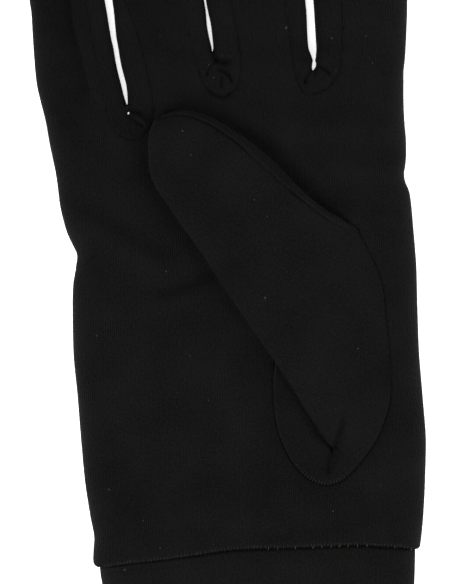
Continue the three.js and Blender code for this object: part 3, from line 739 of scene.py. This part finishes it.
def make_thumb():
    both = [-r for r in EDGE_ROWS] + EDGE_ROWS
    loose = [
        beside(FOLD_LINE, both, 0.9),
        beside(UPPER_FOLD, both, 0.9),
        beside(THUMB_SEAM_LINE, [-2, -1.2, -0.7, -0.4, -0.15, 0.15, 0.4, 0.7, 1.2, 2], 0.8),
        beside(WELT_LINE, [-3, -2, -1.2, -0.8, -0.4, -0.2, 0, 0.2, 0.4, 0.8, 1.2, 2, 3], 0.7),
        *(beside(curve(fold[0], 0.5), np.linspace(-2.4, 2.4, 11) * max(fold[1], 0.7), 0.5)
          for fold in THUMB_FOLDS + THUMB_DENTS[:2])]
    fine = np.vstack(loose + [grid(OVER_LINE, 1.3), grid(POCKET_LINE, 1.0)])
    fine = fine[inside(fine, OVER_LINE) | inside(fine, POCKET_LINE)]
    edges = [FOLD_LINE, UPPER_FOLD, THUMB_SEAM_LINE, VALLEY_LINE]
    fine = fine[nearest(fine, edges) > CLEARANCE]
    points, triangles = triangulate(fine, [(line, False) for line in edges])
    centre = points[triangles].mean(1)
    top, under, pocket = thumb_heights(points)
    over, in_pocket, in_oval = (inside(centre, line) for line in (OVER_LINE, POCKET_LINE, THUMB_SEAM_LINE))
    hidden = over & (distance(centre, FOLD_LINE) < POCKET_DEPTH) & in_oval
    closed = rounded(distance(points, FOLD_LINE), POCKET_DEPTH - 0.7, 2)
    sheets = [(triangles[over], top, True),
              (triangles[over & ~in_oval], under, False),
              (triangles[hidden], under - (under - pocket) * closed, False),
              (triangles[in_pocket | hidden], pocket, True)]
    return build_mesh("thumb_cloth", points, knit_of_thumb(points), sheets)


# Cuff
CUFF_ROWS = [
    # along, left, right, height, bottom
    (3.5, -42.0, 46.2, 5.2, 0.9),
    (0.6, -42.1, 46.3, 5.2, 0.6),
    (-0.1, -42.1, 46.35, 5.3, 0.5),
    (-0.5, -42.1, 46.35, 5.75, 0.4),
    (-1.1, -42.1, 46.35, 6.25, 0.2),
    (-2, -42.05, 46.35, 6.35, 0),
    (-4, -41.9, 46.3, 6.6, 0),
    (-8, -41.4, 46.2, 6.6, 0),
    (-12, -41, 46, 6.6, 0),
    (-24, -39.8, 45.3, 6.5, 0),
    (-36, -39.2, 45.0, 6.5, 0),
    (-43.6, -39.0, 45.0, 6.6, 0),
    (-44.7, -39.05, 45.05, 6.4, 0.1),
    (-45, -39.3, 44.7, 6.0, 0.45),
]
CUFF_SPANS = 96
CUFF_STITCH = -38.5  # line of stitching above the open end
BACK_KNIT = 97  # shift of the knit's pattern on the back


def make_cuff():
    """A flat tube from inside the hem to the open end: rings of points up the table of rows."""
    stations = np.r_[np.linspace(3.5, 0.8, 4), np.arange(0.5, -3, -0.25), np.arange(-3.1, -43, -1.1),
                     np.linspace(-43, -45, 9)]
    rows, *columns = np.transpose(CUFF_ROWS)
    left, right, height, bottom = (smooth_steps(-rows, column, -stations)[:, None] for column in columns)
    across = left + (right - left) * ((1 - np.cos(np.linspace(0, math.pi, CUFF_SPANS + 1))) / 2)
    along = np.broadcast_to(stations[:, None], across.shape)
    inward = np.minimum(across - left, right - across)
    near_hem = np.where(along < 0, np.exp(-(along / HEM_ROLL) ** 2), 1)
    raised = np.where(along > -3, HEM_LIFT * near_hem * ease(-8, -34, across), 0)
    ys = along + hem_height(across) * np.clip(1 - np.abs(along) / HEM_FOLLOWED, 0, 1)
    stitch = 0.3 * np.exp(-((along - CUFF_STITCH) / 0.35) ** 2)
    sunk = uneven(np.c_[across.ravel(), along.ravel()], UNEVEN_CUFF).reshape(across.shape)
    upper = FOLD_RISE + (height - FOLD_RISE - sunk - stitch + raised) * rounded(inward, CUFF_ROUND)
    lower = bottom + (FOLD_RISE - bottom) * (1 - rounded(inward, UNDER_ROUND))
    # painted light on the cuff's side folds, and painted shadow just below the hem
    painted_lighting = RIM_PAINTED_LIGHT * np.exp(-inward / RIM_REACH)
    shaded = painted_lighting - HEM_PAINTED_SHADOW * np.exp(np.minimum(along, 0) / 1.8)
    front = np.stack([across, ys, upper, across, ys, shaded], axis=2)
    back = np.stack([across, ys, lower, across + BACK_KNIT, ys, painted_lighting], axis=2)[:, -2:0:-1]
    rings = np.concatenate([front, back], axis=1).reshape(-1, 6)
    quads = tube_quads(len(stations), 2 * CUFF_SPANS)
    obj = add_object("cuff_cloth", rings[:, :3], quads.tolist(), rings[:, 3:])
    solidify(obj, CLOTH)
    return obj


# Stitches, fuzz and lint
RANDOM = np.random.default_rng(7)
# Tacks that hold the hem to the cuff: x and radius
TACKS = [
    (5.2, 0.06), (7.8, 0.065), (12.7, 0.08), (17.6, 0.1), (20.1, 0.095), (22.7, 0.07), (25, 0.09),
    (27.4, 0.1), (30, 0.1), (32.6, 0.09), (40.4, 0.06), (45, 0.07),
]
# Lint caught in the cloth: x, y and size
LINT = [
    (-25.1, 143.2, 0.6), (-16.4, 109.3, 1), (-18.6, 116.1, 0.9), (1, 97, 1), (4.6, 92.5, 0.9),
    (4.1, 70.1, 1.5), (-23.4, 77.4, 0.9), (-16.7, 53.9, 0.7), (-11.6, 41.6, 0.6), (29.8, 56.1, 0.9),
    (-42.7, 59.5, 0.9), (23.1, 10.5, 1.1), (36.3, 17.8, 0.6), (-39.3, 16.7, 1), (34, 135.4, 0.9),
    (32.3, 142.9, 0.9), (9.9, 145.2, 1.4), (29, 116.1, 0.5), (-10.2, 1.5, 0.6), (-34.9, -5.7, 1.3),
    (22.8, 142.4, 1.2), (-29.8, 8, 0.6), (-25.1, 0.4, 0.8), (-11.6, 134.9, 0.6), (-10.2, 131.4, 0.7),
    (23.9, 133.4, 0.6),
]
# Rows of stitches: step, reach to the right and to the left of the line, slant, unevenness, share kept, lift.
# Those of the oval are at its foot and up its right and left side.
OVAL_STITCHES = [
    (0.9, 1.5, 0.2, 0, 0.1, 1, 0.1),
    (0.78, 0.45, 0.12, 0.2, 0.15, 1, 0.05),
    (0.76, 0.75, 0.15, -0.6, 0.15, 1, 0.05),
]
OVAL_FOOT = (22, 23.5)  # x between its two sides, and the height up to which it is the foot
WELT_STITCHES = (0.85, -0.35, 0.95, 0.3, 0.2, 0.7, 0.05)
STRIP_STITCHES = (0.8, 0.35, 0.3, 0.1, 0.2, 0.55, 0.02)
# Whipped stitches over the folds of the crotches: line, and the same columns
COMBS = [
    ([(-8.4, 136.9), (-5.2, 136.8)], 0.55, 0.1, 1.4, 0.5, 0.15, 1, 0.03),
    ([(-10.5, 135), (-11.4, 133.4), (-12.1, 131.8)], 0.5, 0.4, 1.2, 0, 0.15, 1, 0.03),
    ([(16.8, 133.2), (16.1, 132), (15.5, 130.7)], 0.5, 0.1, 1.2, 1.2, 0.15, 1, 0.03),
]
HEM_STITCHES = (-42.5, 46.4, 0.93)  # first and last x, and the step
# Radius of the threads
OVAL_RADII = (0.05, 0.043)
WELT_RADIUS = 0.05
STRIP_RADIUS = 0.045
COMB_RADIUS = 0.035
STANDING_FIBRE = 0.022
LYING_FIBRE = 0.016
SHORT_FIBRE = 0.12
FUZZ_STEP = 0.42  # between the fibres that stand off the outline
LYING_FIBRES = 4200


def cloth_top(points):
    """Height of the cloth's upper side anywhere on the glove."""
    top = hand_heights(points)[0]
    thumb_top, _, pocket = thumb_heights(points)
    top = np.where(inside(points, POCKET_LINE), pocket, top)
    top = np.where(inside(points, OVER_LINE), thumb_top, top)
    on_cuff = points[:, 1] < hem_height(points[:, 0]) - 0.2
    return np.where(on_cuff, np.interp(-points[:, 1], [-0.5, 1.1, 4, 50], [5.2, 5.9, 6.6, 6.5]), top)


def on_cloth(plan, lift):
    """Paths from their plan, lifted off the cloth."""
    height = cloth_top(plan.reshape(-1, 2)).reshape(plan.shape[:2]) + lift
    return np.concatenate([plan, height[..., None]], axis=2)


def threads(name, paths, radius, sides=3):
    """Thin round threads with tapered ends, one for each row of points in paths."""
    count, steps, _ = paths.shape
    run = unit(np.gradient(paths, axis=1))
    across = unit(np.cross(run, (0.31, 0.22, 0.92)))
    upright = np.cross(across, run)
    taper = np.sqrt(np.sin(np.linspace(0.15, math.pi - 0.15, steps)))[None, :, None, None]
    turn = np.linspace(0, 2 * math.pi, sides, endpoint=False)[:, None]
    ring = np.cos(turn) * across[:, :, None] + np.sin(turn) * upright[:, :, None]
    verts = paths[:, :, None] + np.reshape(radius, (-1, 1, 1, 1)) * taper * ring
    first = np.arange(count)[:, None] * steps * sides
    quads = (first[..., None] + tube_quads(steps, sides)).reshape(-1, 4)
    caps = np.vstack([first + np.arange(sides), first + (steps - 1) * sides + np.arange(sides)[::-1]])
    return add_object(name, verts.reshape(-1, 3), quads.tolist() + caps.tolist())


def across_seam(line, step, right, left, slant, uneven, kept, lift):
    """Paths of short stitches from the left side of a line, the outer one, to the right side."""
    path = even(line, step)
    run = unit(np.gradient(path, axis=0))
    chosen = RANDOM.random(len(path)) < kept
    path, run = path[chosen], run[chosen]
    normal = np.c_[-run[:, 1], run[:, 0]]
    from_side = left * (1 + uneven * RANDOM.normal(size=len(path)))
    to_side = -right * (1 + uneven * RANDOM.normal(size=len(path)))
    share = np.linspace(0, 1, 5)[None, :, None]
    tilt = (slant + 0.06 * RANDOM.normal(size=len(path)))[:, None, None]
    start = path + normal * from_side[:, None]
    end = path + normal * to_side[:, None]
    plan = start[:, None] + (end - start)[:, None] * share + run[:, None] * tilt * (share - 0.5)
    return on_cloth(plan, lift + 0.08 * np.sin(share[..., 0] * math.pi))


def covered(paths):
    """The paths without those that the folded thumb hides."""
    return paths[~inside(paths[:, 2, :2], OVER_LINE) & (distance(paths[:, 2, :2], FOLD_LINE) > 0.7)]


def make_stitches():
    """The threads of every seam that shows: of the oval, the welt and the side strips."""
    across, along = THUMB_SEAM_LINE.T
    foot = along < OVAL_FOOT[1]
    parts = foot, ~foot & (across > OVAL_FOOT[0]), ~foot & (across < OVAL_FOOT[0])
    foot, right, left = (across_seam(THUMB_SEAM_LINE[part], *row) for part, row in zip(parts, OVAL_STITCHES))
    left = covered(left)
    thick = 0.09 - 0.035 * ease(18.5, 22.5, foot[:, 0, 1])
    radii = np.r_[thick, np.repeat(OVAL_RADII, (len(right), len(left)))]
    welt = across_seam(WELT_LINE, *WELT_STITCHES)
    strips = np.concatenate([across_seam(line, *STRIP_STITCHES) for line in SEAMS.values()])
    strips = strips[inside(strips[:, 2, :2], OUTLINE) & (strips[:, :, 2].min(axis=1) > 4)]
    return (threads("oval_stitches", np.concatenate([foot, right, left]), radii),
            threads("welt_stitches", welt, WELT_RADIUS),
            threads("strip_stitches", strips, STRIP_RADIUS))


def make_hem_stitches():
    """Upright stitches over the hem's edge, and the larger tacks that hold it to the cuff."""
    xs = np.repeat(np.arange(*HEM_STITCHES), 2)
    xs = xs + 0.12 * RANDOM.normal(size=len(xs))
    above = 0.6 + 0.5 * RANDOM.random(len(xs))
    below = 0.05 + 0.35 * RANDOM.random(len(xs))
    share = np.linspace(0, 1, 7)[None, :]
    hem = hem_height(xs)[:, None]
    ys = hem + above[:, None] - (above + below)[:, None] * share
    plan = np.stack([xs[:, None] + 0.1 * RANDOM.normal(size=(len(xs), 1)) * share, ys], axis=2)
    over_edge = ys - hem
    paths = on_cloth(plan, 0.04)
    edge = np.interp(over_edge, [-0.6, -0.05, 0.3], [6.1, 6.4, 7.0]) + 0.04
    paths[..., 2] = np.where(over_edge > 0.3, paths[..., 2], edge)
    fine = threads("hem_stitches", paths, 0.045 + 0.04 * RANDOM.random(len(xs)))
    at = np.linspace(0.45, -0.6, 7)
    arch = 6.75 + 0.35 * np.sin((0.45 - at) / 1.05 * math.pi)
    tacks = [np.c_[x + 0.25 * (at - 0.2), hem_height(x) + at, arch] for x, _ in TACKS]
    return fine, threads("hem_tacks", np.array(tacks), np.array([radius for _, radius in TACKS]), 6)


def make_fuzz():
    """Fine fibres that stand off the outline, and others that lie on the cloth."""
    rows = even(SIDES[SIDES[:, 1] > 0], FUZZ_STEP)
    run = unit(np.gradient(rows, axis=0))
    count = len(rows)
    turn = 0.7 * RANDOM.normal(size=count)
    away = np.c_[-run[:, 1] * np.cos(turn) - run[:, 0] * np.sin(turn),
                 -run[:, 1] * np.sin(turn) + run[:, 0] * np.cos(turn)]
    length = SHORT_FIBRE + 0.5 * RANDOM.random(count) ** 2
    share = np.linspace(-0.15, 1, 4)[None, :, None]
    lift = FOLD_RISE + 0.5 * RANDOM.normal(size=(count, 1))
    lift = lift + share[..., 0] * 0.4 * RANDOM.normal(size=(count, 1))
    plan = rows[:, None] + away[:, None] * length[:, None, None] * share
    plan += 0.1 * (share ** 2) * RANDOM.normal(size=(count, 1, 2))
    outline = np.concatenate([plan, lift[..., None]], axis=2)

    low, high = OUTLINE.min(0) + 3, OUTLINE.max(0) - 3
    spots = low + (high - low) * RANDOM.random((9000, 2))
    spots = spots[inside(spots, OUTLINE)]
    spots = spots[distance(spots, SIDES) > 2.2][:LYING_FIBRES]
    turn = RANDOM.random(len(spots)) * 2 * math.pi
    run = np.c_[np.cos(turn), np.sin(turn)]
    length = 0.4 + 0.8 * RANDOM.random(len(spots))
    bend = 0.35 * RANDOM.normal(size=len(spots))
    share = np.linspace(-0.5, 0.5, 4)[None, :]
    plan = spots[:, None] + run[:, None] * (length[:, None] * share)[..., None]
    plan += np.c_[-run[:, 1], run[:, 0]][:, None] * (bend[:, None] * share ** 2 * 2)[..., None]
    lying = on_cloth(plan, 0.02 + 0.1 * (0.5 - np.abs(share)))
    return threads("outline_fuzz", outline, STANDING_FIBRE), threads("cloth_fuzz", lying, LYING_FIBRE)


def make_lint():
    """Small pale tangles of fluff caught in the cloth."""
    paths, radii = [], []
    share = np.linspace(-0.5, 0.5, 5)
    for x, y, size in LINT:
        height = cloth_top(np.array([(x, y)]))[0]
        along = 0.42 * size * share
        for _ in range(3):
            turn = RANDOM.random() * 2 * math.pi
            curl = 0.12 * size * RANDOM.normal(size=2)
            plan = np.c_[x + along * math.cos(turn) + curl[0] * share ** 2 * 4,
                         y + along * math.sin(turn) + curl[1] * share ** 2 * 4]
            paths.append(np.c_[plan, height + 0.06 + 0.05 * RANDOM.random(5)])
            radii.append(0.025 + 0.018 * size)
    return threads("lint", np.array(paths), np.array(radii), 5)


def make_crotch_stitches():
    """Whipped stitches over the folds where the side strips turn."""
    return threads("crotch_stitches", np.concatenate([across_seam(*row) for row in COMBS]), COMB_RADIUS)


# Materials
def set_inputs(node, values):
    for socket, value in values.items():
        node.inputs[socket].default_value = value


def add_node(tree, kind, links=None, values=None, **settings):
    """A node with some sockets linked and others set."""
    node = tree.nodes.new(kind)
    for key, value in settings.items():
        setattr(node, key, value)
    set_inputs(node, values or {})
    for socket, source in (links or {}).items():
        tree.links.new(source, node.inputs[socket])
    return node


def math_node(tree, operation, *values):
    """Result of one operation on other nodes' results and plain numbers."""
    node = add_node(tree, 'ShaderNodeMath', operation=operation)
    for socket, value in zip(node.inputs, values):
        if isinstance(value, (int, float)):
            socket.default_value = value
        else:
            tree.links.new(value, socket)
    return node.outputs[0]


def new_material(name, settings):
    """A material, its tree and its shader, with constants set on the shader's own sockets."""
    material = bpy.data.materials.new(name)
    material.use_nodes = True
    shader = material.node_tree.nodes["Principled BSDF"]
    set_inputs(shader, settings)
    return material, material.node_tree, shader


def finish(tree, shader, colour, tone, relief, strength, depth):
    """Base colour that a tone makes lighter or darker, and fine relief of a depth in millimetres."""
    mix = add_node(tree, 'ShaderNodeMix', {7: tone}, {0: 1, 6: (*colour, 1)}, data_type='RGBA',
                   blend_type='MULTIPLY')
    tree.links.new(mix.outputs[2], shader.inputs['Base Color'])
    fineness = {'Strength': strength, 'Distance': depth * MM}
    bump = add_node(tree, 'ShaderNodeBump', {'Height': relief}, fineness)
    tree.links.new(bump.outputs[0], shader.inputs['Normal'])


def jersey(name, shade, pitch=WALE_PITCH, ribs=WALE_CONTRAST, everywhere=0.55):
    """Fine black jersey: upright wales of loops that come and go, fluff, painted light on the outer side
    folds and painted shade in the creases and up the fingers.
    """
    material, tree, shader = new_material(name, {
        'Roughness': 0.92, 'Specular IOR Level': 0.02, 'Sheen Weight': 0.01, 'Sheen Roughness': 0.4})
    places = add_node(tree, 'ShaderNodeAttribute', attribute_name="knit", attribute_type='GEOMETRY')
    knit = places.outputs['Vector']
    add, less, times, greater, positive, sine = (
        partial(math_node, tree, operation)
        for operation in ('ADD', 'SUBTRACT', 'MULTIPLY', 'MAXIMUM', 'ABSOLUTE', 'SINE'))

    def cloud(scale, detail, roughness=0.5):
        values = {'Scale': scale, 'Detail': detail, 'Roughness': roughness}
        node = add_node(tree, 'ShaderNodeTexNoise', {0: knit}, values, noise_dimensions='2D')
        return less(node.outputs[0], 0.5)

    across, along, painted_lighting = add_node(tree, 'ShaderNodeSeparateXYZ', {0: knit}).outputs
    u = math_node(tree, 'DIVIDE', add(across, times(cloud(0.35, 3), WALE_SWAY)), pitch)
    v = math_node(tree, 'DIVIDE', along, pitch * LOOP_SHARE)
    wale = positive(sine(times(u, math.pi)))
    lean = positive(less(math_node(tree, 'FRACT', u), 0.5))
    loops = times(add(sine(times(add(v, lean), 2 * math.pi)), 1), 0.5)
    stitch = times(wale, add(times(loops, 0.4), 0.6))
    fluff, lint, patches = cloud(1.5, 4, 0.8), cloud(3.1, 2, 0.6), cloud(0.07, 3)
    clear = add_node(tree, 'ShaderNodeClamp', {0: add(times(cloud(0.12, 2), 3.4), everywhere)}).outputs[0]
    tone = times(less(stitch, 0.5), add(times(clear, ribs), 0.2))
    tone = add(add(tone, times(fluff, FLUFF_CONTRAST)), times(patches, PATCH_CONTRAST))
    fibres = times(greater(less(lint, FIBRE_LEVEL), 0), FIBRE_BRIGHTNESS)
    # the knit's third value brightens the cloth with painted light on the side folds and darkens it with
    # painted shade
    tone = times(greater(add(add(tone, fibres), 1), DARKEST), add(painted_lighting, 1))
    # painted shade: darker up the fingers, most of all on the little finger
    ramps = (add_node(tree, 'ShaderNodeMapRange', {0: place}, dict(enumerate(ends, 1)),
                      interpolation_type='SMOOTHSTEP').outputs[0]
             for place, ends in ((along, (*SHADE_UP, 0, 1)), (across, (*SHADE_ACROSS, FINGER_PAINTED_SHADE, 0))))
    tone = times(tone, less(1, times(*ramps)))
    relief = add(times(stitch, 0.8), times(fluff, 1.2))
    finish(tree, shader, [c * shade for c in JERSEY_BLACK], tone, relief, 0.8, 0.12)
    return material


def thread_material(name, colour, spread=0.3):
    """Matt yarn that varies in tone along its length."""
    material, tree, shader = new_material(name, {'Roughness': 0.8, 'Specular IOR Level': 0.1})
    place = add_node(tree, 'ShaderNodeTexCoord').outputs['Object']
    twist = add_node(tree, 'ShaderNodeTexNoise', {0: place}, {'Scale': 1600, 'Detail': 2}).outputs[0]
    tone = math_node(tree, 'ADD', math_node(tree, 'MULTIPLY', twist, 2 * spread), 1 - spread)
    finish(tree, shader, colour, tone, twist, 1, 0.03)
    return material


# Stage, lights and camera
def make_stage():
    """Plain pale floor just under the glove."""
    mesh = bpy.data.meshes.new("floor")
    far, below = 4.0, -0.0002
    mesh.from_pydata([(-far, -far, 0), (far, -far, 0), (far, far, 0), (-far, far, 0)], [], [(0, 1, 2, 3)])
    floor = place_object("floor", mesh, (0, 0, below))
    floor.data.materials.append(new_material("floor_white", {
        'Base Color': (0.9, 0.9, 0.9, 1), 'Roughness': 0.9, 'Specular IOR Level': 0.1,
        'Emission Color': (1, 1, 1, 1), 'Emission Strength': FLOOR_GLOW})[0])


# Soft lights: place in metres, size and power
LIGHTS = {
    "key": ((-0.7, -1.15, 1.7), 1.1, 54),
    "left": ((-1.6, 0, 0.5), 1.2, 14),
    "right": ((1.45, 0, 0.85), 1.2, 30),
}
WORLD_LIGHT = 0.68


def make_lights():
    """Square lights that face the glove, and an even light all round."""
    for name, (place, size, power) in LIGHTS.items():
        light = bpy.data.lights.new(name, 'AREA')
        light.shape = 'SQUARE'
        light.size = size
        light.energy = power
        facing = (-Vector(place)).to_track_quat('-Z', 'Y').to_euler()
        place_object(name, light, place).rotation_euler = facing
    world = bpy.data.worlds.new("surroundings")
    world.use_nodes = True
    set_inputs(world.node_tree.nodes["Background"], {0: (1, 1, 1, 1), 1: WORLD_LIGHT})
    bpy.context.scene.world = world


def make_camera():
    """Camera straight above the middle of the photograph."""
    data = bpy.data.cameras.new("camera")
    data.lens = LENS
    data.sensor_width = SENSOR
    data.clip_end = 20
    x, y = PHOTO_MIDDLE[0] + SHIFT_X, PHOTO_MIDDLE[1] + SHIFT_Y
    above = CAMERA_AWAY + 0.5 * HAND_HEIGHT
    bpy.context.scene.camera = place_object("camera", data, (x * MM, y * MM, above * MM))
    bpy.context.scene.view_settings.view_transform = 'Standard'


def add_piece(piece, material, node=None):
    """Gives a piece its material and its place in the frame; some stand for a node of the CAD."""
    piece.data.materials.append(material)
    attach(piece, "root")
    if node:
        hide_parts(node)


CLOTHS = {
    "hand": jersey("hand_jersey", 1.0),
    "fourchette": jersey("fourchette_jersey", 0.97, 0.5),
    "thumb": jersey("thumb_jersey", 1.0, ribs=0.42, everywhere=0.25),
    "cuff": jersey("cuff_jersey", 1.04),
}
YARN = thread_material("seam_yarn", (0.013, 0.0128, 0.012))
TACK_YARN = thread_material("tack_yarn", (0.033, 0.032, 0.03))
FUZZ = thread_material("fuzz", (0.012, 0.012, 0.012))
LINT_GREY = thread_material("lint", (0.05, 0.05, 0.048))

for node, piece in {**make_hand(), "thumb": make_thumb(), "cuff": make_cuff()}.items():
    kind = node.split("_")[0]
    add_piece(piece, CLOTHS[kind], node)
for piece, slot in zip(make_stitches(), ("thumb_jersey", "thumb_jersey", "fourchette_jersey")):
    add_piece(piece, YARN)
for piece, material in zip(make_hem_stitches(), (YARN, TACK_YARN)):
    add_piece(piece, material)
for piece in make_fuzz():
    add_piece(piece, FUZZ)
add_piece(make_lint(), LINT_GREY)
add_piece(make_crotch_stitches(), YARN)

make_stage()
make_lights()
make_camera()
